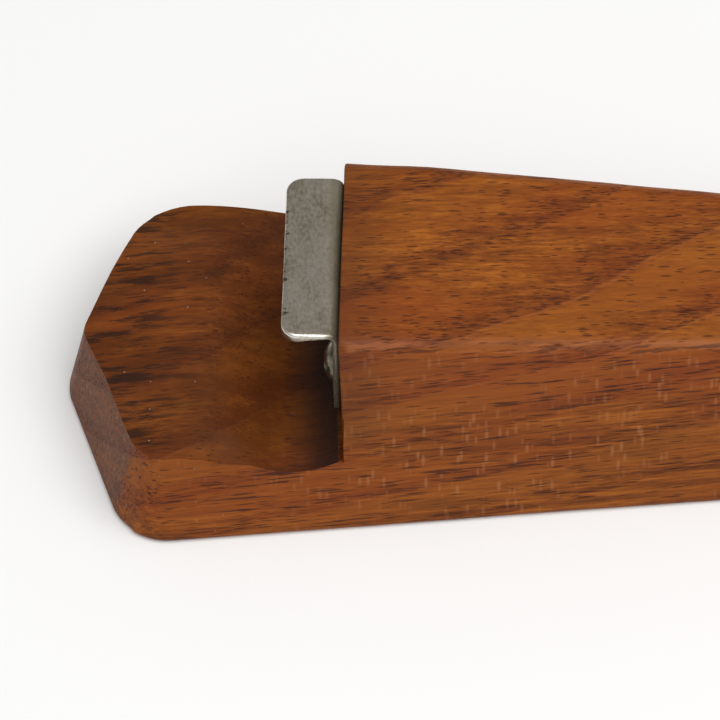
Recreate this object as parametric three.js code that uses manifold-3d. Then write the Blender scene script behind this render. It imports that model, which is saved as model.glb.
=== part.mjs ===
// Wooden crown-cap opener, in millimetres, +Z up.
//
// A tapered hardwood bar lies along X on its flat underside, its nose towards -X, with the
// origin below the middle of its length. A step near the nose leaves a low pointed shelf, and
// a bent steel lip is screwed to the upright end wall of that step. The lip hooks under the
// rim of a cap while the shelf bears on the cap's top.

import * as THREE from 'three';
import { mergeVertices } from 'three/addons/utils/BufferGeometryUtils.js';
import Module from 'manifold-3d';

const wasm = await Module();
wasm.setup();

// Bar
const LENGTH = 172;
const NOSE_LENGTH = 35.6; // tip of the underside to the step's end wall
const WALL_X = NOSE_LENGTH - LENGTH / 2;
const HEIGHT = 29.3; // at the end wall
const TOP_FALL = 0.095; // height lost per mm towards the tail
const HALF_WIDTH = 22.2; // of the underside, at the end wall
const SIDE_TAPER = 0.077; // half width lost per mm towards the tail
const SIDE_LEAN = 0.26; // every upright face leans in by this much per mm of height
const FACET_ANGLE = THREE.MathUtils.degToRad(19); // nose facets, from the Y axis
const NOSE_RADIUS = 9;
const TIP_RADIUS = 10;
const TAIL_RADIUS = 8;
const CORNER_STEPS = 8;
const MARGIN = 4; // how far a cutting shape runs past the bar

// Shelf, as heights above the underside and distances from the end wall
const SHELF_AT_WALL = 11.2;
const SCOOP_HEIGHT = 10.2; // lowest line of the scoop that is cut across the shelf
const SCOOP_DISTANCE = 5.4;
const SHELF_HEIGHT = 13.7; // highest line of the shelf
const SHELF_DISTANCE = 19;
const SHELF_AT_TIP = 12.6;

// Lip
const PLATE = 1.0;
const GAP = 0.3; // left between pieces that touch
const LIP_HALF_WIDTH = 12.2;
const LIP_REACH = 6.8;
const LIP_CORNER = 2.2;
const LEG_HEIGHT = 15.4;
const BEND_INSIDE = 0.8;

// Screws
const HEAD_RADIUS = 2.6;
const HEAD_HEIGHT = 1.5;
const SLOT_WIDTH = 0.9;
const SLOT_DEPTH = 0.9;
const SLOT_TURN = THREE.MathUtils.degToRad(21);
const THREAD_RADIUS = 1.45;
const ROOT_RADIUS = 1.0;
const THREAD_PITCH = 1.2;
const THREAD_TURNS = 10;
const SHANK_LENGTH = 2.6; // plain part under the head
const POINT_LENGTH = 2.4;
const SCREW_Y = 8.6;
const SCREW_BELOW_TOP = 11.4;
const ROUND_STEPS = 24;

const wood = new THREE.MeshStandardMaterial({ color: 0x8f4a22, roughness: 0.55, metalness: 0 });
const steel = new THREE.MeshStandardMaterial({ color: 0x8c8880, roughness: 0.35, metalness: 1 });

function toSolid(geometry) {
  geometry.deleteAttribute('normal');
  geometry.deleteAttribute('uv');
  const merged = mergeVertices(geometry, 1e-4);
  return new wasm.Manifold(new wasm.Mesh({
    numProp: 3,
    vertProperties: new Float32Array(merged.attributes.position.array),
    triVerts: new Uint32Array(merged.index.array),
  }));
}

function toMesh(name, solid, material) {
  const { vertProperties, triVerts } = solid.getMesh();
  const geometry = new THREE.BufferGeometry();
  geometry.setAttribute('position', new THREE.BufferAttribute(vertProperties, 3));
  geometry.setIndex(new THREE.BufferAttribute(triVerts, 1));
  geometry.computeVertexNormals();
  const mesh = new THREE.Mesh(geometry, material);
  mesh.name = name;
  return mesh;
}

// A profile drawn in XZ and extruded across Y, centred on the XZ plane.
function acrossBar(profile, width) {
  const geometry = new THREE.ExtrudeGeometry(profile, { depth: width, bevelEnabled: false });
  geometry.rotateX(Math.PI / 2);
  geometry.translate(0, width / 2, 0);
  return toSolid(geometry);
}

// Corners of the underside, anticlockwise from above, each with its own radius.
function undersideCorners() {
  const tip = -LENGTH / 2 - TIP_RADIUS * (1 / Math.cos(FACET_ANGLE) - 1);
  const tail = LENGTH / 2;
  const halfWidthAt = (x) => HALF_WIDTH - SIDE_TAPER * (x - WALL_X);
  const slope = Math.tan(FACET_ANGLE);
  const noseY = (HALF_WIDTH + SIDE_TAPER * (WALL_X - tip)) / (1 + SIDE_TAPER * slope);
  const noseX = tip + noseY * slope;
  return [
    { x: tip, y: 0, radius: TIP_RADIUS },
    { x: noseX, y: -noseY, radius: NOSE_RADIUS },
    { x: tail, y: -halfWidthAt(tail), radius: TAIL_RADIUS },
    { x: tail, y: halfWidthAt(tail), radius: TAIL_RADIUS },
    { x: noseX, y: noseY, radius: NOSE_RADIUS },
  ];
}

// The outline of the bar seen from above, moved inwards by inset. The arcs stay concentric,
// so outlines with different insets have matching points.
function outline(inset) {
  const corners = undersideCorners();
  const points = [];
  corners.forEach((corner, i) => {
    const before = corners.at(i - 1);
    const after = corners[(i + 1) % corners.length];
    const arrive = Math.atan2(corner.y - before.y, corner.x - before.x);
    const leave = Math.atan2(after.y - corner.y, after.x - corner.x);
    const turn = (leave - arrive + 2 * Math.PI) % (2 * Math.PI);
    const middle = arrive + turn / 2 + Math.PI / 2; // points into the bar
    const reach = corner.radius / Math.cos(turn / 2);
    const centre = new THREE.Vector2(Math.cos(middle), Math.sin(middle))
      .multiplyScalar(reach)
      .add(corner);
    for (let step = 0; step <= CORNER_STEPS; step += 1) {
      const angle = arrive - Math.PI / 2 + (turn * step) / CORNER_STEPS;
      const radius = corner.radius - inset;
      points.push(new THREE.Vector2(
        centre.x + radius * Math.cos(angle),
        centre.y + radius * Math.sin(angle),
      ));
    }
  });
  return points;
}

// The bar before it is cut to its side profile: upright faces that all lean in alike.
function leaningBlock() {
  const height = HEIGHT + 1;
  const low = outline(0);
  const high = outline(SIDE_LEAN * height);
  const geometry = new THREE.ExtrudeGeometry(new THREE.Shape(low), {
    depth: height,
    bevelEnabled: false,
  });
  const position = geometry.attributes.position;
  for (let i = 0; i < position.count; i += 1) {
    if (position.getZ(i) > height / 2) {
      const here = new THREE.Vector2(position.getX(i), position.getY(i));
      const match = low.findIndex((point) => point.distanceTo(here) < 1e-3);
      position.setXY(i, high[match].x, high[match].y);
    }
  }
  return toSolid(geometry);
}

// Side profile in XZ: flat underside, falling top, upright end wall, and a shelf with a scoop
// next to the wall and a slight fall to the tip.
function barProfile() {
  const left = -LENGTH / 2 - MARGIN;
  const right = LENGTH / 2 + MARGIN;
  const scoopX = WALL_X - SCOOP_DISTANCE;
  const shelfX = WALL_X - SHELF_DISTANCE;
  const ease = (scoopX - shelfX) / 2;
  const profile = new THREE.Shape();
  profile.moveTo(left, 0);
  profile.lineTo(right, 0);
  profile.lineTo(right, HEIGHT - TOP_FALL * (right - WALL_X));
  profile.lineTo(WALL_X, HEIGHT);
  profile.lineTo(WALL_X, SHELF_AT_WALL);
  profile.quadraticCurveTo((WALL_X + scoopX) / 2, SCOOP_HEIGHT, scoopX, SCOOP_HEIGHT);
  profile.bezierCurveTo(
    scoopX - ease, SCOOP_HEIGHT,
    shelfX + ease, SHELF_HEIGHT,
    shelfX, SHELF_HEIGHT,
  );
  profile.quadraticCurveTo((shelfX + left) / 2, SHELF_HEIGHT, left, SHELF_AT_TIP);
  profile.closePath();
  return profile;
}

// A round hole or bar along X, from one end to the other.
function roundAlongX(radius, fromX, toX, y, z) {
  const geometry = new THREE.CylinderGeometry(radius, radius, toX - fromX, ROUND_STEPS);
  geometry.rotateZ(Math.PI / 2);
  geometry.translate((fromX + toX) / 2, y, z);
  return toSolid(geometry);
}

const SCREW_Z = HEIGHT - SCREW_BELOW_TOP;
const SCREW_SIDES = [['lip_screw_front', -SCREW_Y], ['lip_screw_back', SCREW_Y]];
const HEAD_SEAT_X = WALL_X - GAP - PLATE - GAP; // underside of the screw heads
const SCREW_LENGTH = SHANK_LENGTH + THREAD_PITCH * THREAD_TURNS + POINT_LENGTH;

function handle() {
  let solid = leaningBlock().intersect(acrossBar(barProfile(), 4 * HALF_WIDTH));
  SCREW_SIDES.forEach(([, y]) => {
    const end = HEAD_SEAT_X + SCREW_LENGTH + 2 * GAP;
    const pilot = roundAlongX(THREAD_RADIUS + GAP, WALL_X - MARGIN, end, y, SCREW_Z);
    solid = solid.subtract(pilot);
  });
  return toMesh('handle', solid, wood);
}

// The lip is one strip of plate bent square: the leg lies on the end wall and the lip stands
// out over the shelf, with its two free corners rounded.
function lip() {
  const back = WALL_X - GAP;
  const top = HEIGHT - GAP;
  const edge = back - LIP_REACH;
  const inside = back - PLATE - BEND_INSIDE;
  const under = top - PLATE - BEND_INSIDE;
  const outside = BEND_INSIDE + PLATE;
  const strip = new THREE.Shape();
  strip.moveTo(back, top - LEG_HEIGHT);
  strip.lineTo(back, under);
  strip.absarc(inside, under, outside, 0, Math.PI / 2, false);
  strip.lineTo(edge, top);
  strip.lineTo(edge, top - PLATE);
  strip.lineTo(inside, top - PLATE);
  strip.absarc(inside, under, BEND_INSIDE, Math.PI / 2, 0, true);
  strip.lineTo(back - PLATE, top - LEG_HEIGHT);
  strip.closePath();

  const half = LIP_HALF_WIDTH;
  const far = back + MARGIN;
  const plan = new THREE.Shape();
  plan.moveTo(far, -half);
  plan.lineTo(far, half);
  plan.lineTo(edge + LIP_CORNER, half);
  plan.absarc(edge + LIP_CORNER, half - LIP_CORNER, LIP_CORNER, Math.PI / 2, Math.PI, false);
  plan.absarc(edge + LIP_CORNER, LIP_CORNER - half, LIP_CORNER, Math.PI, 1.5 * Math.PI, false);
  plan.closePath();
  const trim = new THREE.ExtrudeGeometry(plan, { depth: 2 * HEIGHT, bevelEnabled: false });

  let solid = acrossBar(strip, 2 * half + MARGIN).intersect(toSolid(trim));
  SCREW_SIDES.forEach(([, y]) => {
    const hole = roundAlongX(THREAD_RADIUS + GAP, edge, back + MARGIN, y, SCREW_Z);
    solid = solid.subtract(hole);
  });
  return toMesh('opener_lip', solid, steel);
}

// A round-head wood screw turned about Y, head down, then laid along X with its head at -X.
function screw(name, y) {
  const profile = [new THREE.Vector2(0, -HEAD_HEIGHT)];
  for (let step = 1; step <= 6; step += 1) {
    const angle = (Math.PI / 2) * (step / 6);
    profile.push(new THREE.Vector2(HEAD_RADIUS * Math.sin(angle), -HEAD_HEIGHT * Math.cos(angle)));
  }
  profile.push(new THREE.Vector2(THREAD_RADIUS, 0));
  profile.push(new THREE.Vector2(THREAD_RADIUS, SHANK_LENGTH));
  for (let turn = 0; turn < THREAD_TURNS; turn += 1) {
    const start = SHANK_LENGTH + turn * THREAD_PITCH;
    profile.push(new THREE.Vector2(ROOT_RADIUS, start + THREAD_PITCH * 0.35));
    profile.push(new THREE.Vector2(ROOT_RADIUS, start + THREAD_PITCH * 0.6));
    profile.push(new THREE.Vector2(THREAD_RADIUS, start + THREAD_PITCH));
  }
  profile.push(new THREE.Vector2(0, SCREW_LENGTH));
  const turned = new THREE.LatheGeometry(profile, ROUND_STEPS);
  turned.rotateZ(-Math.PI / 2);

  const cutter = new THREE.BoxGeometry(2 * SLOT_DEPTH, 3 * HEAD_RADIUS, SLOT_WIDTH);
  cutter.translate(-HEAD_HEIGHT, 0, 0);
  cutter.rotateX(-SLOT_TURN);

  const mesh = toMesh(name, toSolid(turned).subtract(toSolid(cutter)), steel.clone());
  mesh.position.set(HEAD_SEAT_X, y, SCREW_Z);
  return mesh;
}

const opener = new THREE.Group();
opener.add(handle());
opener.add(lip());
SCREW_SIDES.forEach(([name, y]) => opener.add(screw(name, y)));

export default opener;
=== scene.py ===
import math

import bmesh
import bpy
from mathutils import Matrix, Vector


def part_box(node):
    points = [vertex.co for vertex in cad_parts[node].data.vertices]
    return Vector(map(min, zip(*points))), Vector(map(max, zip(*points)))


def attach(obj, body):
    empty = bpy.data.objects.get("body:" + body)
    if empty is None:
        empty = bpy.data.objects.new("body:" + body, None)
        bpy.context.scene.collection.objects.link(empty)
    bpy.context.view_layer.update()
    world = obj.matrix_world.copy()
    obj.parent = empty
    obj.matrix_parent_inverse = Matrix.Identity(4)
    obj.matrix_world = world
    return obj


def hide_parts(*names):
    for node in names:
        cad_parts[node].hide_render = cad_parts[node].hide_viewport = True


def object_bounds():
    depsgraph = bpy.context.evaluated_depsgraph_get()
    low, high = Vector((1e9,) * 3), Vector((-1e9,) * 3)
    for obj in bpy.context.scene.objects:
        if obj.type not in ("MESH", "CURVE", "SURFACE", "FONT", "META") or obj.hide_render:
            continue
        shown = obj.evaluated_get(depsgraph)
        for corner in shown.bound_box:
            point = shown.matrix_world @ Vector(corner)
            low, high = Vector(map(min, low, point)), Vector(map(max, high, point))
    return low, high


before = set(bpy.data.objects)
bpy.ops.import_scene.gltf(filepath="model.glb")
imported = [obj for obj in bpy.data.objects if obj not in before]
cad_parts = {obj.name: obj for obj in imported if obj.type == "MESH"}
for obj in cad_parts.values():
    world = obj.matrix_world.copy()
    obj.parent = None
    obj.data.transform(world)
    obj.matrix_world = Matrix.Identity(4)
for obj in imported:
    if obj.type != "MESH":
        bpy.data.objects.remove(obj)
cad_low, cad_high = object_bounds()

# Camera. A long lens looks down at the nose, the lip and the start of the grip, with the
# opener lying almost level across the view.

MM = 0.001
lip_low, lip_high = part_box("opener_lip")
wall_x = lip_high.x + 0.3 * MM  # the step's end wall, where the leg of the lip rests
camera_data = bpy.data.cameras.new("camera")
camera_data.lens = 239.3
camera_data.sensor_width = 36
camera_data.clip_start = 0.01
camera_data.clip_end = 50
camera = bpy.data.objects.new("camera", camera_data)
camera.location = (wall_x + 6.05 * MM, -351.3 * MM, 501.55 * MM)
camera.rotation_euler = [math.radians(a) for a in (35.32, 0.666, -0.285)]
bpy.context.scene.collection.objects.link(camera)
bpy.context.scene.camera = camera

# Handle. One piece of red-brown hardwood, sawn to a long taper with every side leaning in,
# stepped down to a pointed nose, scooped out beside the step and rounded over by hand.

handle_low, handle_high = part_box("handle")
LEAN = 0.26                      # how far a side leans in per unit of height
TIP_X = handle_low.x - 0.6 * MM  # where the nose facets would meet if the tip were sharp
NOSE_X = wall_x - 27.8 * MM      # where the nose facets start
TAIL_X = handle_high.x
NOSE_HALF = 24.35 * MM
TAIL_HALF = 11.7 * MM
TOP_FALL = 0.095                 # height lost per unit of length towards the tail
SPARE = 1.5 * MM                 # height that is sawn off again by the falling top
LOWER_ROUND = 1.1 * MM
UPPER_ROUND = 1.9 * MM
ARRIS = 0.3 * MM
SHELF = 13.7 * MM
SCOOP = 3.5 * MM
SCOOP_X = wall_x - 5.4 * MM
NOTCH_LENGTH = 40 * MM
NOTCH_WIDTH = 60 * MM
NOTCH_HEIGHT = 30 * MM
SKEW = 0.03                      # the saw ran this far off square across the handle
UNDERCUT = 0.033                 # and this far in towards the foot of the step
NEAR = 0.01 * MM                 # two places closer than this are the same
WAVER = 0.22 * MM                # how uneven the hand-worked surfaces are


def edit(piece, mode="VERT"):
    """Enter edit mode on one piece, with all of it selected."""
    if bpy.context.mode != "OBJECT":
        bpy.ops.object.mode_set(mode="OBJECT")
    bpy.ops.object.select_all(action="DESELECT")
    bpy.context.view_layer.objects.active = piece
    piece.select_set(True)
    bpy.ops.object.mode_set(mode="EDIT")
    bpy.ops.mesh.select_mode(type=mode)
    bpy.ops.mesh.select_all(action="SELECT")


def choose(piece, mode, wanted):
    """In edit mode, select only the vertices, edges or faces that pass the test."""
    bpy.ops.mesh.select_mode(type=mode)
    bpy.ops.mesh.select_all(action="DESELECT")
    mesh = bmesh.from_edit_mesh(piece.data)
    for item in {"VERT": mesh.verts, "EDGE": mesh.edges, "FACE": mesh.faces}[mode]:
        if wanted(item):
            item.select_set(True)
    bmesh.update_edit_mesh(piece.data)


def draw_out(x, y, z):
    """Extrude what is selected."""
    bpy.ops.mesh.extrude_region_move(TRANSFORM_OT_translate={"value": (x, y, z)})


def push_softly(amount, reach):
    """Move what is selected up or down, and its neighbours with it less and less."""
    bpy.ops.transform.translate(
        value=(0, 0, amount),
        use_proportional_edit=True,
        proportional_edit_falloff="SMOOTH",
        proportional_size=reach,
    )


def turn(angle, axis, centre):
    """Turn what is selected about a line through the centre."""
    bpy.ops.transform.rotate(
        value=angle, orient_axis=axis, orient_type="GLOBAL", center_override=centre
    )


def all_outwards():
    bpy.ops.mesh.select_all(action="SELECT")
    bpy.ops.mesh.normals_make_consistent(inside=False)


def finish_modifier(piece, kind, **settings):
    """Add a modifier and apply it."""
    bpy.context.view_layer.objects.active = piece
    modifier = piece.modifiers.new(kind.lower(), kind)
    for name, value in settings.items():
        setattr(modifier, name, value)
    bpy.ops.object.modifier_apply(modifier=modifier.name)


def cut_away(piece, cutter):
    finish_modifier(piece, "BOOLEAN", object=cutter, operation="DIFFERENCE", solver="MANIFOLD")
    bpy.data.objects.remove(cutter)


def roughen(piece, name, grain_size, strength):
    """Let a surface waver by a slow cloud pattern."""
    clouds = bpy.data.textures.new(name, "CLOUDS")
    clouds.noise_scale = grain_size
    clouds.noise_depth = 2
    finish_modifier(
        piece, "DISPLACE", texture=clouds, texture_coords="LOCAL", strength=strength, mid_level=0.5
    )


def wall_at(place):
    """Where the sawn wall stands at this height and distance across."""
    return wall_x + SKEW * place.y + UNDERCUT * (handle_high.z - place.z)


# The underside as a kite-ended board.
bpy.ops.object.select_all(action="DESELECT")
bpy.ops.mesh.primitive_plane_add(size=1, location=(0, 0, 0))
handle = bpy.context.object
handle.name = "hardwood_handle"
edit(handle)
bpy.ops.transform.resize(value=(TAIL_X - NOSE_X, 2 * NOSE_HALF, 1))
bpy.ops.transform.translate(value=((TAIL_X + NOSE_X) / 2, 0, 0))
choose(handle, "VERT", lambda v: v.co.x > 0)
bpy.ops.transform.resize(value=(1, TAIL_HALF / NOSE_HALF, 1))
choose(handle, "EDGE", lambda e: all(v.co.x < 0 for v in e.verts))
draw_out(TIP_X - NOSE_X, 0, 0)
bpy.ops.mesh.merge(type="CENTER")
bpy.ops.mesh.select_all(action="SELECT")
bpy.ops.mesh.dissolve_limited(angle_limit=0.01)

# Each upright corner gets its own round, the far one of the nose the largest.
for x, y, setback in (
    (TIP_X, 0, 2.2 * MM),
    (NOSE_X, -NOSE_HALF, 6.2 * MM),
    (NOSE_X, NOSE_HALF, 8.8 * MM),
    (TAIL_X, -TAIL_HALF, 7.5 * MM),
    (TAIL_X, TAIL_HALF, 7.5 * MM),
):
    corner = Vector((x, y, 0))
    choose(handle, "VERT", lambda v: (v.co - corner).length < 0.5 * MM)
    bpy.ops.mesh.bevel(offset=setback, segments=10, affect="VERTICES", profile=0.5)

# One inset raises the leaning sides, and the open underside is closed.
edit(handle, "FACE")
block_height = cad_high.z + SPARE
all_outwards()
bpy.ops.mesh.inset(thickness=LEAN * block_height, depth=block_height)
bpy.ops.mesh.select_mode(type="EDGE")
bpy.ops.mesh.select_all(action="DESELECT")
bpy.ops.mesh.select_non_manifold()
bpy.ops.mesh.edge_face_add()
all_outwards()

# The nose was trued by eye: shorter at the foot and on the far side, longer at the tip.
choose(handle, "VERT", lambda v: v.co.z < NEAR and v.co.x < NOSE_X + 1 * MM)
bpy.ops.transform.translate(value=(0.42 * MM, 0, 0))
choose(handle, "VERT", lambda v: v.co.y > 10 * MM and v.co.x < NOSE_X + LEAN * block_height)
bpy.ops.transform.translate(value=(0.4 * MM, 0, 0))
upper_tip_x = TIP_X + LEAN * block_height
choose(handle, "VERT", lambda v: v.co.z > NEAR and v.co.x < upper_tip_x + 1.4 * MM)
bpy.ops.transform.translate(value=(-0.9 * MM, 0, 0))

# The top falls towards the tail.
top_place = Vector((wall_x, 0, cad_high.z))
top_normal = Vector((TOP_FALL, 0, 1)).normalized()
bpy.ops.mesh.select_all(action="SELECT")
bpy.ops.mesh.bisect(plane_co=top_place, plane_no=top_normal, clear_outer=True, use_fill=True)

# The long edges are rounded over by hand, the lower rim less than the upper.
choose(handle, "EDGE", lambda e: all(v.co.z < NEAR for v in e.verts))
bpy.ops.mesh.bevel(offset=LOWER_ROUND, segments=4, affect="EDGES")
choose(handle, "EDGE", lambda e: all(abs((v.co - top_place).dot(top_normal)) < NEAR for v in e.verts))
bpy.ops.mesh.bevel(offset=UPPER_ROUND, segments=6, affect="EDGES")
bpy.ops.object.mode_set(mode="OBJECT")

# The step is cut by a block whose underside carries the worn shape of the shelf: a scoop
# right across, a dip in the front rim, worn nose corners and a saw kerf along the wall.
bpy.ops.object.select_all(action="DESELECT")
bpy.ops.mesh.primitive_grid_add(x_subdivisions=80, y_subdivisions=48, size=1)
notch = bpy.context.object
edit(notch)
bpy.ops.transform.resize(value=(NOTCH_LENGTH, NOTCH_WIDTH, 1))
bpy.ops.transform.translate(value=(wall_x - NOTCH_LENGTH / 2, 0, SHELF))
for from_wall, at_y, reach, depth in (
    (SCOOP_X - wall_x, None, 13 * MM, SCOOP),
    (-15.4 * MM, -20 * MM, 5 * MM, 0.7 * MM),
    (-27.8 * MM, -14 * MM, 7 * MM, 0.4 * MM),
    (-34 * MM, 0, 14 * MM, 0.8 * MM),
    (-20 * MM, 22 * MM, 13 * MM, 2.4 * MM),
    (-29 * MM, 17.5 * MM, 12 * MM, 1.2 * MM),
    (0, None, 0.4 * MM, 0.5 * MM),
):
    choose(
        notch,
        "VERT",
        lambda v: abs(v.co.x - wall_x - from_wall) < 0.3 * MM
        and (at_y is None or abs(v.co.y - at_y) < 0.8 * MM),
    )
    push_softly(-depth, reach)
bpy.ops.mesh.select_all(action="SELECT")
draw_out(0, 0, NOTCH_HEIGHT)
all_outwards()
choose(notch, "VERT", lambda v: abs(v.co.x - wall_x) < 0.1 * MM)
turn(UNDERCUT, "Y", (wall_x, 0, handle_high.z))
turn(SKEW, "Z", (wall_x, 0, 0))
bpy.ops.object.mode_set(mode="OBJECT")
cut_away(handle, notch)

# The arrises the saw left are only just broken.
edit(handle)
bpy.ops.mesh.remove_doubles(threshold=0.06 * MM)
choose(
    handle,
    "EDGE",
    lambda e: len(e.link_faces) == 2
    and e.calc_face_angle() > 0.35
    and all(abs(v.co.x - wall_at(v.co)) < 0.03 * MM and v.co.z > SHELF for v in e.verts)
    and any(abs(f.normal.x) < 0.6 for f in e.link_faces),
)
bpy.ops.mesh.bevel(offset=ARRIS, segments=2, affect="EDGES")

# Fine cross cuts let the hand-worked surfaces waver a little.
for x in [wall_x + (1 + 2.5 * i) * MM for i in range(55)]:
    choose(handle, "FACE", lambda f: f.calc_center_median().x > wall_x - 2 * MM)
    bpy.ops.mesh.bisect(plane_co=(x, 0, 0), plane_no=(1, 0, 0))
for y in [(-18 + 3 * i) * MM for i in range(13)]:
    choose(handle, "FACE", lambda f: abs(f.normal.z) > 0.8 and f.calc_center_median().x > wall_x)
    bpy.ops.mesh.bisect(plane_co=(0, y, 0), plane_no=(0, 1, 0))
for z in (3, 5.5, 8, 10.5, 13.5, 16, 18.5, 21, 23.5, 26):
    choose(handle, "FACE", lambda f: abs(f.normal.z) < 0.8)
    bpy.ops.mesh.bisect(plane_co=(0, 0, z * MM), plane_no=(0, 0, 1))

# The rounds that meet at the tip leave a sliver there, and its two sides are joined.
choose(handle, "VERT", lambda v: v.co.x < TIP_X + 5 * MM)
bpy.ops.mesh.remove_doubles(threshold=0.08 * MM)

# The far top corner of the step has been knocked low.
choose(
    handle,
    "VERT",
    lambda v: v.co.x < wall_x + 2 * MM and v.co.y > 12.5 * MM and v.co.z > cad_high.z - 2.5 * MM,
)
push_softly(-0.75 * MM, 11 * MM)
all_outwards()
bpy.ops.object.mode_set(mode="OBJECT")

# Everything wavers but the flat underside.
roughen(handle, "hand_worked", 0.016, WAVER)
edit(handle)
choose(handle, "FACE", lambda f: f.normal.z < -0.98)
bpy.ops.transform.resize(value=(1, 1, 0), center_override=(0, 0, 0))
bpy.ops.object.mode_set(mode="OBJECT")
bpy.ops.object.shade_smooth_by_angle(angle=math.radians(32))
finish_modifier(handle, "WEIGHTED_NORMAL", keep_sharp=True)


class Finish:
    """A material, built up node by node."""

    def __init__(self, name):
        self.material = bpy.data.materials.new(name)
        self.material.use_nodes = True
        self.tree = self.material.node_tree
        self.surface = self.tree.nodes["Principled BSDF"]
        self.where = None

    def add(self, kind, settings=None, **inputs):
        node = self.tree.nodes.new("ShaderNode" + kind)
        for name, value in (settings or {}).items():
            setattr(node, name, value)
        for name, value in inputs.items():
            self.put(node, name.replace("_", " "), value)
        return node

    def put(self, node, name, value):
        """Set a socket by its name, or by its number as i0, i1 and so on."""
        numbered = name[0] == "i" and name[1:].isdigit()
        socket = node.inputs[int(name[1:]) if numbered else name]
        if isinstance(value, bpy.types.NodeSocket):
            self.tree.links.new(value, socket)
        else:
            socket.default_value = value

    def math(self, operation, a, b=0.0, c=0.0):
        return self.add("Math", {"operation": operation}, i0=a, i1=b, i2=c).outputs[0]

    def times(self, first, *others):
        for other in others:
            first = self.math("MULTIPLY", first, other)
        return first

    def ramp(self, value, *stops):
        node = self.add("ValToRGB", i0=value)
        elements = node.color_ramp.elements
        while len(elements) < len(stops):
            elements.new(0.5)
        for element, (place, colour) in zip(elements, stops):
            element.position = place
            element.color = colour if isinstance(colour, tuple) else (colour, colour, colour, 1)
        return node.outputs["Color"]

    def mix(self, amount, under, over):
        return self.add("Mix", {"data_type": "RGBA"}, i0=amount, i6=under, i7=over).outputs[2]

    def split(self, kind, output):
        """The X, Y and Z of a place or of the surface's direction."""
        return self.add("SeparateXYZ", i0=self.add(kind).outputs[output]).outputs

    def place(self, scale):
        """Object coordinates stretched by a factor for each direction, per metre."""
        if self.where is None:
            self.where = self.add("TexCoord").outputs["Object"]
        return self.add("VectorMath", {"operation": "MULTIPLY"}, i0=self.where, i1=scale).outputs[0]

    def noise(self, scale, detail=3.0, rough=0.5):
        node = self.add("TexNoise", Vector=self.place(scale), Scale=1.0, Detail=detail, Roughness=rough)
        return node.outputs["Fac"]

    def cells(self, scale, shift=0.0):
        """Scattered spots: the distance from the nearest one, and that one's own random number."""
        moved = self.add("VectorMath", {"operation": "ADD"}, i0=self.place(scale), i1=(shift, shift, shift))
        node = self.add("TexVoronoi", {"feature": "F1"}, Vector=moved.outputs[0], Scale=1.0, Randomness=1.0)
        lot = self.add("SeparateColor", i0=node.outputs["Color"]).outputs[0]
        return node.outputs["Distance"], lot

    def smooth(self, value, low, high, to_low=0.0, to_high=1.0):
        """A soft step from one amount to another as the value goes from low to high."""
        node = self.add("MapRange", {"interpolation_type": "SMOOTHSTEP"}, Value=value)
        for name, number in (("From Min", low), ("From Max", high), ("To Min", to_low), ("To Max", to_high)):
            self.put(node, name, number)
        return node.outputs[0]

    def bump(self, height, strength, depth):
        node = self.add("Bump", Height=height, Strength=strength, Distance=depth)
        self.put(self.surface, "Normal", node.outputs[0])

    def coat(self, piece):
        piece.data.materials.clear()
        piece.data.materials.append(self.material)


DARK_BROWN = (0.075, 0.017, 0.003, 1)
BROWN = (0.18, 0.045, 0.006, 1)
RED_BROWN = (0.27, 0.072, 0.008, 1)
HONEY = (0.40, 0.125, 0.015, 1)
CLOUD_RED = (0.22, 0.040, 0.005, 1)
LATE_WOOD = (0.30, 0.092, 0.010, 1)
EARLY_WOOD = (0.105, 0.023, 0.005, 1)
RING_TAN = (0.38, 0.14, 0.045, 1)
RAY_TAN = (0.42, 0.18, 0.075, 1)
PORE_BLACK = (0.035, 0.009, 0.004, 1)
EDGE_RED = (0.26, 0.050, 0.012, 1)
SLOT_BROWN = (0.055, 0.015, 0.007, 1)
SHELF_STAIN = (0.078, 0.018, 0.002, 1)
SCUFF_BLACK = (0.016, 0.007, 0.004, 1)
GRIME_AND_SHADE_BLACK = (0.018, 0.006, 0.003, 1)
ARRIS_SHADE_BROWN = (0.075, 0.022, 0.007, 1)
END_GRAIN_AND_SHEEN_GREY = (0.060, 0.028, 0.016, 1)
WORN_AND_HIGHLIGHT_TAN = (0.38, 0.135, 0.055, 1)
KNOCK_BROWN = (0.075, 0.020, 0.010, 1)
DUST = (0.45, 0.38, 0.30, 1)
RING_DIRECTION = (-231, 549, 803)  # square to the year rings, and 1000 long so that it counts mm
RING_SPACING = 6.8                 # in mm

wood = Finish("oiled_hardwood")
along, across, above = wood.split("TexCoord", "Object")
heading_x, _, heading_z = wood.split("NewGeometry", "Normal")
side = wood.smooth(heading_z, 0.5, 0.8, 1.0, 0.0)

# The fibres run a little up and across the bar from nose to tail.
grain = wood.add(
    "CombineXYZ",
    i0=along,
    i1=wood.math("MULTIPLY_ADD", along, -0.08, across),
    i2=wood.math("MULTIPLY_ADD", along, -0.03, above),
)
wood.where = grain.outputs[0]

# Year rings: almost flat sheets rising slowly along the handle, bent by slow noise.
untilted = wood.add("TexCoord").outputs["Object"]
ring = wood.add("VectorMath", {"operation": "DOT_PRODUCT"}, i0=untilted, i1=RING_DIRECTION)
ring = ring.outputs["Value"]
ring = wood.math("ADD", ring, wood.times(wood.noise((30, 60, 60), 2.0), 3.2))
ring = wood.math("ADD", ring, wood.noise((90, 220, 220)))
ring = wood.math("MULTIPLY_ADD", ring, 1 / RING_SPACING, 0.18)
phase = wood.math("FRACT", ring)
year = wood.add("TexWhiteNoise", {"noise_dimensions": "1D"}, W=wood.math("FLOOR", ring))
year = year.outputs["Value"]
early = wood.ramp(phase, (0.0, 1.0), (0.1, 0.7), (0.3, 0.2), (0.88, 0.0), (0.96, 0.15), (1.0, 1.0))
ring_line = wood.ramp(phase, (0.0, 0.0), (0.93, 0.0), (0.965, 1.0), (1.0, 0.0))
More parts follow.
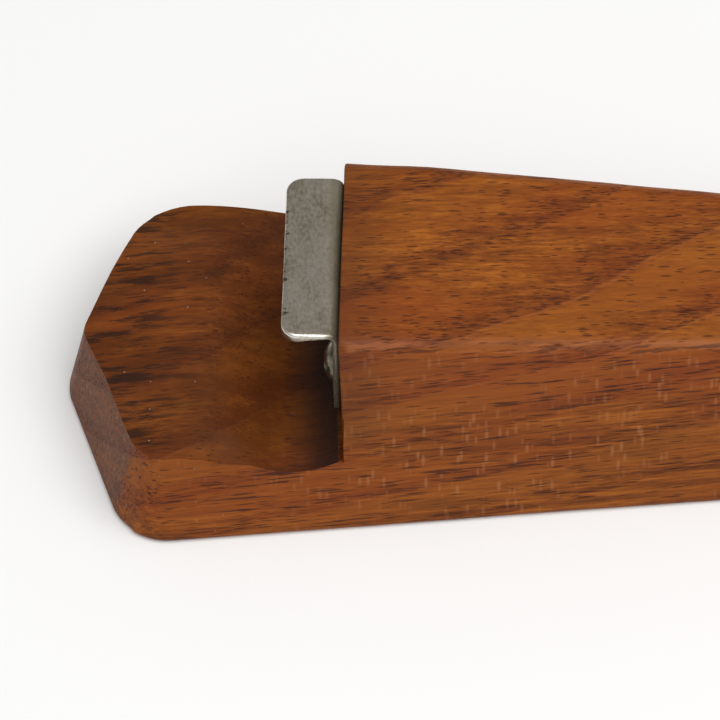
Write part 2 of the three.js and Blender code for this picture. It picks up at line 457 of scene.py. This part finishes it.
ring_line = wood.times(ring_line, wood.smooth(year, 0.3, 0.9))

# Pores: long thin slots in two sizes, crowded just after each ring boundary.
pores = []
for scale, shift in (((330, 4300, 4300), 0.0), ((190, 2700, 2700), 17.0)):
    distance, lot = wood.cells(scale, shift)
    present = wood.math("LESS_THAN", lot, wood.math("MULTIPLY_ADD", early, 0.75, 0.13))
    pores.append(wood.times(wood.smooth(distance, 0.18, 0.38, 1.0, 0.0), present))
pore = wood.math("MAXIMUM", pores[0], pores[1])

# Fibre and slow shifts of colour, then the seasons' growth. Rings are quieter on the sides.
fibre = wood.noise((230, 3400, 3400), 5.0, 0.7)
streak = wood.noise((40, 900, 900), 5.0, 0.65)
cloud = wood.noise((22, 90, 90), 3.0, 0.55)
tone = wood.math("ADD", wood.times(fibre, 0.5), wood.times(streak, 0.5))
colour = wood.ramp(tone, (0.38, DARK_BROWN), (0.47, BROWN), (0.54, RED_BROWN), (0.63, HONEY))
colour = wood.mix(wood.smooth(cloud, 0.38, 0.66, 0.0, 0.55), colour, CLOUD_RED)
late = wood.times(wood.smooth(phase, 0.1, 0.6), wood.smooth(phase, 0.86, 1.0, 1.0, 0.0))
late = wood.times(late, wood.smooth(year, 0.1, 0.9, 0.3, 1.0))
colour = wood.mix(wood.times(late, 0.45), colour, LATE_WOOD)
colour = wood.mix(wood.times(early, wood.smooth(heading_z, 0.3, 0.75, 0.2, 0.42)), colour, EARLY_WOOD)
colour = wood.mix(wood.times(ring_line, 0.18), colour, RING_TAN)

# Ray flecks: short pale ribbons standing across the rings, seen on the sides.
distance, lot = wood.cells((1250, 900, 250))
ray = wood.times(wood.smooth(distance, 0.12, 0.42, 1.0, 0.0), wood.math("LESS_THAN", lot, 0.8))
ray = wood.times(ray, wood.smooth(wood.noise((40, 90, 90), 2.0), 0.38, 0.58), side)
colour = wood.mix(wood.times(ray, 0.38), colour, RAY_TAN)

# The sides are redder under the rounded edge, with long dark slots.
slot = wood.times(wood.smooth(wood.noise((150, 2300, 2300), 2.0), 0.60, 0.66), side)
slot = wood.times(slot, wood.smooth(cloud, 0.40, 0.58, 0.25, 0.85))
under_edge = wood.times(side, wood.smooth(above, 15 * MM, 25 * MM))
colour = wood.mix(wood.times(under_edge, 0.30), colour, EDGE_RED)
colour = wood.mix(slot, colour, SLOT_BROWN)
colour = wood.mix(wood.times(pore, 0.72), colour, PORE_BLACK)

# The shelf is darker from use, most of all at its rim.
on_shelf = wood.smooth(heading_z, 0.75, 0.95)
on_shelf = wood.times(on_shelf, wood.smooth(along, wall_x - 1 * MM, wall_x, 1.0, 0.0))
stain = wood.smooth(wood.noise((70, 160, 160), 4.0, 0.65), 0.35, 0.65, 0.4, 0.85)
colour = wood.mix(wood.times(on_shelf, stain), colour, SHELF_STAIN)
scuff = wood.smooth(wood.noise((110, 800, 800), 5.0, 0.7), 0.50, 0.60)
scuff = wood.times(scuff, wood.smooth(along, wall_x - 27 * MM, wall_x - 14 * MM, 1.0, 0.15))
colour = wood.mix(wood.times(scuff, on_shelf, 0.8), colour, SCUFF_BLACK)

# Grime and painted shade darken the shelf against the foot of the step, and painted shade darkens the arris
# above it.
foot_grime_and_shade = wood.times(wood.smooth(along, wall_x - 9 * MM, wall_x - 1.5 * MM), on_shelf)
colour = wood.mix(wood.times(foot_grime_and_shade, 0.92), colour, GRIME_AND_SHADE_BLACK)
# painted shade: the arris and the wood just behind the step's wall are painted darker
arris_shade = wood.smooth(along, wall_x, wall_x + 9 * MM, 0.45, 0.0)
arris_shade = wood.times(arris_shade, wood.smooth(along, wall_x - 0.8 * MM, wall_x - 0.4 * MM))
arris_shade = wood.times(arris_shade, wood.smooth(above, 12 * MM, 18 * MM))
colour = wood.mix(arris_shade, colour, ARRIS_SHADE_BROWN)

# The nose facets cut across the fibres and are grey and stringy, the grey partly end grain and partly a
# painted sheen.
facet = wood.smooth(heading_x, -0.92, -0.75, 1.0, 0.0)
string = wood.smooth(wood.noise((4200, 3000, 520), 4.0, 0.7), 0.35, 0.65, 0.1, 0.8)
colour = wood.mix(wood.times(facet, string), colour, END_GRAIN_AND_SHEEN_GREY)

# Handling has paled the rounded edges and a painted highlight lightens them further, and knocks have left
# dark marks along them.
behind_wall = wood.smooth(along, wall_x, wall_x + 1 * MM)
# wear and painted highlight: the rounded edges are painted paler
edge_wear_and_highlight = wood.times(wood.smooth(heading_z, 0.34, 0.5), wood.smooth(heading_z, 0.985, 0.9))
edge_wear_and_highlight = wood.times(edge_wear_and_highlight, wood.smooth(streak, 0.42, 0.58, 0.05, 0.35), behind_wall)
colour = wood.mix(edge_wear_and_highlight, colour, WORN_AND_HIGHLIGHT_TAN)
knock = wood.smooth(wood.noise((130, 1500, 1500), 3.0, 0.6), 0.54, 0.60)
knock = wood.times(knock, wood.smooth(heading_z, 0.32, 0.5), wood.smooth(heading_z, 0.97, 0.85))
colour = wood.mix(wood.times(knock, behind_wall, 0.7), colour, KNOCK_BROWN)

# Dry specks sit on the end of the shelf.
distance, lot = wood.cells((900, 900, 900))
speck = wood.times(wood.smooth(distance, 0.08, 0.14, 1.0, 0.0), wood.math("LESS_THAN", lot, 0.10))
speck = wood.times(speck, wood.smooth(along, wall_x - 24 * MM, wall_x - 8 * MM, 0.4, 0.05))
colour = wood.mix(speck, colour, DUST)

# Thin oil leaves the wood dull, and the pores duller still.
dullness = wood.math("ADD", wood.times(fibre, 0.16), wood.math("MULTIPLY_ADD", pore, 0.2, 0.40))
wood.put(wood.surface, "Base Color", colour)
wood.put(wood.surface, "Roughness", dullness)
wood.put(wood.surface, "Specular IOR Level", 0.13)
wood.bump(wood.math("SUBTRACT", wood.times(fibre, 0.35), pore), 0.55, 0.12 * MM)
wood.coat(handle)

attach(handle, "root")
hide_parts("handle")

# Lip. A strip of mild steel bent square over the top of the step, its free corners
# rounded and its edges worn bright where caps were levered off, plus a painted highlight.

PLATE = 0.85 * MM
BEND_RADIUS = 0.6 * MM
BURR = 0.8 * MM  # how far the worn free edge is thicker than the plate
FREE_CORNER = 2.1 * MM
EDGE_ROUND = 0.36 * MM
SCREW_Y = 8.6 * MM
SCREW_Z = 17.9 * MM
HOLE_RADIUS = 1.7 * MM
LIP_SET = Vector((0, -0.4 * MM, -0.55 * MM))  # it was screwed on a little low and to the near side
leg_back = wall_x
bend_x = leg_back - PLATE - BEND_RADIUS
bend_z = lip_high.z - PLATE - BEND_RADIUS
free_end = lip_low.x + 0.05 * MM

# The foot of the leg is drawn up, round the bend and out to the free edge.
bpy.ops.object.select_all(action="DESELECT")
bpy.ops.mesh.primitive_plane_add(size=1, location=(0, 0, 0))
lip = bpy.context.object
lip.name = "steel_lip"
edit(lip, "FACE")
bpy.ops.transform.resize(value=(PLATE, 2 * lip_high.y, 1))
bpy.ops.transform.translate(value=(leg_back - PLATE / 2, 0, lip_low.z))
draw_out(0, 0, bend_z - lip_low.z)
bpy.ops.mesh.spin(steps=6, angle=math.pi / 2, center=(bend_x, 0, bend_z), axis=(0, 1, 0))
draw_out(lip_low.x - bend_x, 0, 0)
bpy.ops.mesh.select_all(action="SELECT")
bpy.ops.mesh.remove_doubles(threshold=NEAR)
all_outwards()
choose(lip, "VERT", lambda v: v.co.x < free_end and v.co.z < lip_high.z - 0.5 * MM)
bpy.ops.transform.translate(value=(0, 0, -BURR))
choose(
    lip,
    "EDGE",
    lambda e: all(v.co.x < free_end for v in e.verts)
    and abs(e.verts[0].co.z - e.verts[1].co.z) > 0.5 * MM,
)
bpy.ops.mesh.bevel(offset=FREE_CORNER, segments=8, affect="EDGES")
bpy.ops.object.mode_set(mode="OBJECT")

# Two holes take the screws, and every edge is eased.
for y in (-SCREW_Y, SCREW_Y):
    bpy.ops.object.select_all(action="DESELECT")
    bpy.ops.mesh.primitive_cylinder_add(
        vertices=32,
        radius=HOLE_RADIUS,
        depth=6 * MM,
        location=(leg_back, y - LIP_SET.y, SCREW_Z - LIP_SET.z),
        rotation=(0, math.pi / 2, 0),
    )
    cut_away(lip, bpy.context.object)
finish_modifier(
    lip,
    "BEVEL",
    width=EDGE_ROUND,
    segments=4,
    limit_method="ANGLE",
    angle_limit=math.radians(50),
    use_clamp_overlap=False,
)

# Fine cuts let the steel waver from use, and the lip is set on the skewed wall.
edit(lip)
for y in [(-11.6 + 0.8 * i) * MM for i in range(30)]:
    bpy.ops.mesh.select_all(action="SELECT")
    bpy.ops.mesh.bisect(plane_co=(0, y, 0), plane_no=(0, 1, 0))
for x in [lip_low.x + (0.5 + 0.8 * i) * MM for i in range(7)]:
    bpy.ops.mesh.select_all(action="SELECT")
    bpy.ops.mesh.bisect(plane_co=(x, 0, 0), plane_no=(1, 0, 0))
bpy.ops.mesh.select_all(action="SELECT")
turn(SKEW, "Z", (wall_x, 0, 0))
bpy.ops.transform.translate(value=LIP_SET)
bpy.ops.object.mode_set(mode="OBJECT")
roughen(lip, "worn_steel", 0.003, 0.1 * MM)
bpy.ops.object.shade_smooth_by_angle(angle=math.radians(40))

DULL_STEEL = (0.23, 0.20, 0.15, 1)
GREY_STEEL = (0.42, 0.37, 0.30, 1)
PALE_STEEL = (0.55, 0.50, 0.42, 1)
OLIVE_DIRT_AND_SHADE = (0.10, 0.085, 0.045, 1)
NICK_BLACK = (0.05, 0.045, 0.035, 1)
WORN_AND_HIGHLIGHT_STEEL = (0.92, 0.88, 0.80, 1)

steel = Finish("lip_steel")
steel_x = steel.split("TexCoord", "Object")[0]
steel_heading = steel.split("NewGeometry", "Normal")
grime = steel.noise((500, 220, 500), 4.0, 0.6)
pitting = steel.noise((2600, 1500, 2600), 3.0, 0.6)
tone = steel.math("ADD", steel.times(grime, 0.6), steel.times(pitting, 0.4))
colour = steel.ramp(tone, (0.36, DULL_STEEL), (0.5, GREY_STEEL), (0.64, PALE_STEEL))

# Olive dirt and painted shade darken the bend and the leg, and the free edge is nicked.
in_bend = steel.smooth(steel_x, wall_x - 2.4 * MM, wall_x - 0.9 * MM)
colour = steel.mix(steel.times(in_bend, 0.8), colour, OLIVE_DIRT_AND_SHADE)
nick = steel.smooth(steel.noise((500, 900, 500), 4.0, 0.7), 0.56, 0.62)
nick = steel.times(nick, steel.smooth(steel_x, lip_low.x + 0.4 * MM, lip_low.x + 1.1 * MM, 0.9, 0.0))
colour = steel.mix(nick, colour, NICK_BLACK)

# The upper edge of the near end is worn bright, and a painted highlight brightens it further.
worn_and_highlight = steel.times(
    steel.smooth(steel_heading[1], -0.12, -0.35),
    steel.smooth(steel_heading[2], 0.02, 0.35),
    steel.smooth(grime, 0.36, 0.56, 1.0, 0.5),
    steel.smooth(steel_x, wall_x - 2.5 * MM, wall_x - 1.5 * MM, 1.0, 0.0),
)
colour = steel.mix(worn_and_highlight, colour, WORN_AND_HIGHLIGHT_STEEL)
steel.put(steel.surface, "Base Color", colour)
steel.put(steel.surface, "Metallic", steel.math("MULTIPLY_ADD", in_bend, -0.7, 1.0))
steel.put(steel.surface, "Roughness", steel.ramp(grime, (0.36, 0.36), (0.64, 0.22)))
steel.bump(pitting, 0.35, 0.05 * MM)
steel.coat(lip)

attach(lip, "root")
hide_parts("opener_lip")

# Screws. Two slotted round-head wood screws of plain steel hold the leg of the lip to the
# step, modelled once and copied.

HEAD_RADIUS = 2.55 * MM
HEAD_HEIGHT = 1.25 * MM
SHANK_RADIUS = 1.4 * MM
ROOT_RADIUS = 1.0 * MM
PLAIN_SHANK = 2.6 * MM
HALF_PITCH = 0.6 * MM
THREAD_TURNS = 10
POINT = 1.3 * MM
SLOT_SIZE = (1.6 * MM, 8 * MM, 0.85 * MM)
SLOT_TURN = math.radians(-21)
seat_x = leg_back - PLATE

# Half of a flattened ball is the head, and the shank is drawn out of its flat back.
bpy.ops.object.select_all(action="DESELECT")
bpy.ops.mesh.primitive_uv_sphere_add(segments=48, ring_count=24, radius=1, location=(0, 0, 0))
screw = bpy.context.object
screw.name = "front_screw"
edit(screw)
turn(math.pi / 2, "Y", (0, 0, 0))
bpy.ops.transform.resize(value=(HEAD_HEIGHT, HEAD_RADIUS, HEAD_RADIUS))
bpy.ops.mesh.bisect(plane_co=(0, 0, 0), plane_no=(1, 0, 0), clear_outer=True, use_fill=True)
bpy.ops.mesh.select_all(action="SELECT")
bpy.ops.transform.translate(value=(seat_x, -SCREW_Y, SCREW_Z))
choose(screw, "FACE", lambda f: f.normal.x > 0.9 and f.calc_area() > 5 * MM * MM)
bpy.ops.mesh.inset(thickness=HEAD_RADIUS - SHANK_RADIUS, depth=0)
draw_out(PLAIN_SHANK, 0, 0)
radius = SHANK_RADIUS
for next_radius in (ROOT_RADIUS, SHANK_RADIUS) * THREAD_TURNS:
    draw_out(HALF_PITCH, 0, 0)
    bpy.ops.transform.resize(value=(1, next_radius / radius, next_radius / radius))
    radius = next_radius
draw_out(POINT, 0, 0)
bpy.ops.mesh.merge(type="CENTER")
all_outwards()
bpy.ops.object.mode_set(mode="OBJECT")

# The slot is sawn across the head, and the screw is turned in square to the wall.
bpy.ops.object.select_all(action="DESELECT")
bpy.ops.mesh.primitive_cube_add(
    size=1,
    location=(seat_x - HEAD_HEIGHT, -SCREW_Y, SCREW_Z),
    rotation=(SLOT_TURN, 0, 0),
    scale=SLOT_SIZE,
)
cut_away(screw, bpy.context.object)
finish_modifier(
    screw, "BEVEL", width=0.08 * MM, segments=2, limit_method="ANGLE", angle_limit=math.radians(45)
)
edit(screw)
turn(SKEW, "Z", (wall_x, 0, 0))
bpy.ops.object.mode_set(mode="OBJECT")
bpy.ops.object.shade_smooth_by_angle(angle=math.radians(40))

TARNISH_BROWN = (0.10, 0.085, 0.06, 1)
PLAIN_STEEL = (0.42, 0.38, 0.31, 1)

tarnished = Finish("screw_steel")
tarnish = tarnished.noise((700, 700, 700), 4.0, 0.6)
colour = tarnished.ramp(tarnish, (0.35, TARNISH_BROWN), (0.65, PLAIN_STEEL))
tarnished.put(tarnished.surface, "Base Color", colour)
tarnished.put(tarnished.surface, "Metallic", 1.0)
tarnished.put(tarnished.surface, "Roughness", tarnished.ramp(tarnish, (0.3, 0.45), (0.7, 0.25)))
tarnished.bump(tarnish, 0.3, 0.05 * MM)
tarnished.coat(screw)

back_screw = screw.copy()
back_screw.data = screw.data.copy()
back_screw.name = "back_screw"
bpy.context.scene.collection.objects.link(back_screw)
edit(back_screw)
bpy.ops.transform.translate(value=(SKEW * 2 * SCREW_Y, 2 * SCREW_Y, 0))
bpy.ops.object.mode_set(mode="OBJECT")
for piece, node in ((screw, "lip_screw_front"), (back_screw, "lip_screw_back")):
    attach(piece, "root")
    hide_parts(node)

# Floor and light. White paper lies under the opener, and one large soft box hangs high above
# it, to the right and towards the front, in an evenly lit white room.

bpy.ops.object.select_all(action="DESELECT")
bpy.ops.mesh.primitive_plane_add(size=4, location=(0, 0, cad_low.z - 0.02 * MM))
paper = bpy.context.object
paper.name = "white_paper"
white = bpy.data.materials.new("white_paper")
white.use_nodes = True
white.node_tree.nodes["Principled BSDF"].inputs["Base Color"].default_value = (0.9, 0.9, 0.89, 1)
white.node_tree.nodes["Principled BSDF"].inputs["Roughness"].default_value = 0.9
paper.data.materials.append(white)
world = bpy.data.worlds.new("studio")
world.use_nodes = True
world.node_tree.nodes["Background"].inputs["Color"].default_value = (1, 1, 1, 1)
world.node_tree.nodes["Background"].inputs["Strength"].default_value = 0.38
bpy.context.scene.world = world
lamp_place = Vector((0.20, -0.24, 0.95))
bpy.ops.object.light_add(type="AREA", location=lamp_place)
lamp = bpy.context.object
lamp.name = "soft_box"
lamp.data.energy = 10.6
lamp.data.size = 1.1
lamp.rotation_euler = lamp_place.to_track_quat("Z", "Y").to_euler()
bpy.context.scene.view_settings.view_transform = "Standard"
